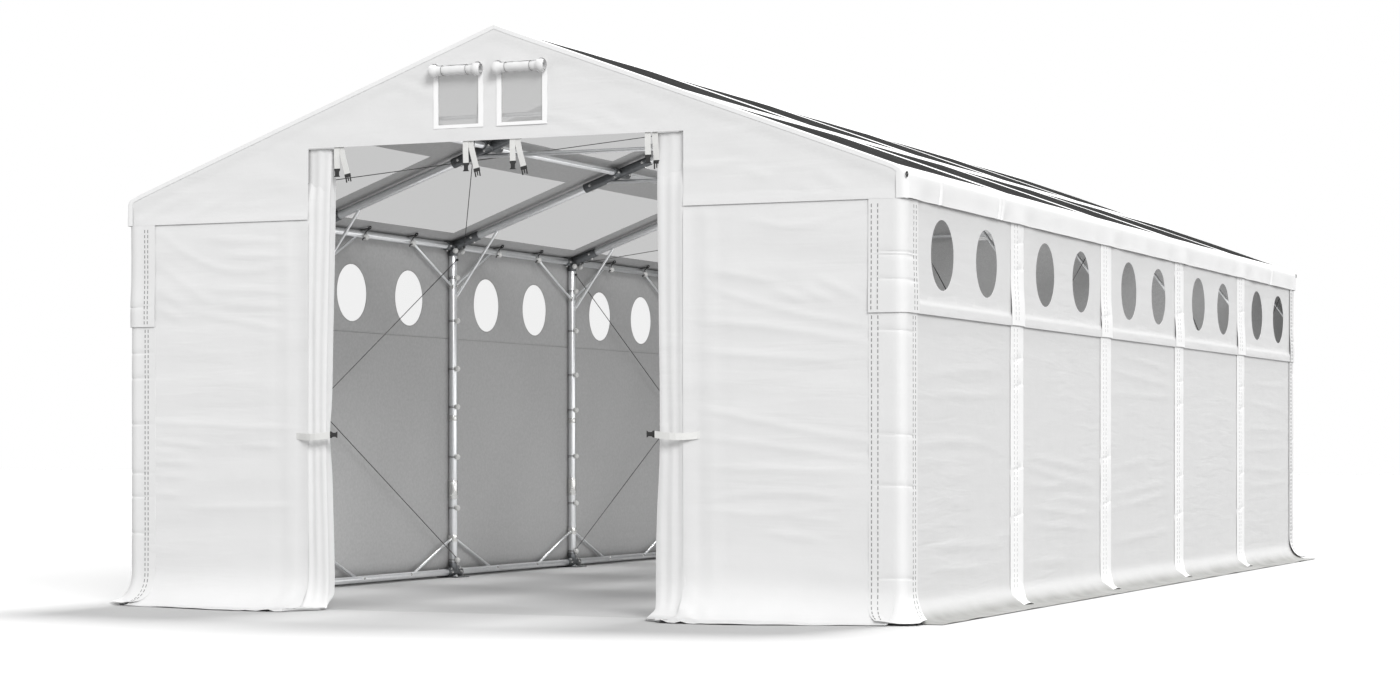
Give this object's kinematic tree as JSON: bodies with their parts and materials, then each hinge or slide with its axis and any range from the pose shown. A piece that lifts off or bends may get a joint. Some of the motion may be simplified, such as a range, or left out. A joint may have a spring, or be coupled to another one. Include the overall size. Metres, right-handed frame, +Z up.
{
  "type": "marquee tent",
  "caption": "Rectangular marquee tent with a pitched roof: white fabric with skylights and round windows on a steel tube frame, sheltering people or goods behind an open gable doorway.",
  "frame": {"origin": "on the ground at the centre of the footprint", "axes": "+Z up, +Y from the doorway end to the back end, +X to the right of someone facing the doorway"},
  "size_m": [5.4186, 10.7486, 3.3799],
  "materials": {
    "steel_tube": "galvanised, satin",
    "steel_cable": "stranded, dull",
    "roof_fabric": "coated, satin",
    "wall_fabric": "coated, satin",
    "trim_fabric": "coated, satin",
    "clear_film": "clear, glossy",
    "vent_mesh": "open mesh, matte"
  },
  "bodies": {
    "root": {"post_left_1": "steel_tube", "post_right_1": "steel_tube", "roof_truss_1": "steel_tube", "post_left_2": "steel_tube", "post_right_2": "steel_tube", "roof_truss_2": "steel_tube", "post_left_3": "steel_tube", "post_right_3": "steel_tube", "roof_truss_3": "steel_tube", "post_left_4": "steel_tube", "post_right_4": "steel_tube", "roof_truss_4": "steel_tube", "post_left_5": "steel_tube", "post_right_5": "steel_tube", "roof_truss_5": "steel_tube", "post_left_6": "steel_tube", "post_right_6": "steel_tube", "roof_truss_6": "steel_tube", "eave_rail_left": "steel_tube", "ground_rail_left": "steel_tube", "purlin_left": "steel_tube", "eave_rail_right": "steel_tube", "ground_rail_right": "steel_tube", "purlin_right": "steel_tube", "ridge_purlin": "steel_tube", "wall_cables_front_left": "steel_cable", "wall_cables_front_right": "steel_cable", "roof_cables_front": "steel_cable", "wall_cables_back_left": "steel_cable", "wall_cables_back_right": "steel_cable", "roof_cables_back": "steel_cable", "roof_canopy_left": "roof_fabric", "skylight_film_left": "clear_film", "side_wall_left": "wall_fabric", "window_film_left": "clear_film", "curtain_left": "wall_fabric", "front_wall_left": "wall_fabric", "corner_cover_front_left": "trim_fabric", "corner_cover_back_left": "trim_fabric", "roof_canopy_right": "roof_fabric", "skylight_film_right": "clear_film", "side_wall_right": "wall_fabric", "window_film_right": "clear_film", "curtain_right": "wall_fabric", "front_wall_right": "wall_fabric", "corner_cover_front_right": "trim_fabric", "corner_cover_back_right": "trim_fabric", "front_gable": "wall_fabric", "vent_mesh_front": "vent_mesh", "back_gable": "wall_fabric", "vent_mesh_back": "vent_mesh", "back_wall": "wall_fabric"}
  },
  "joints": []
}
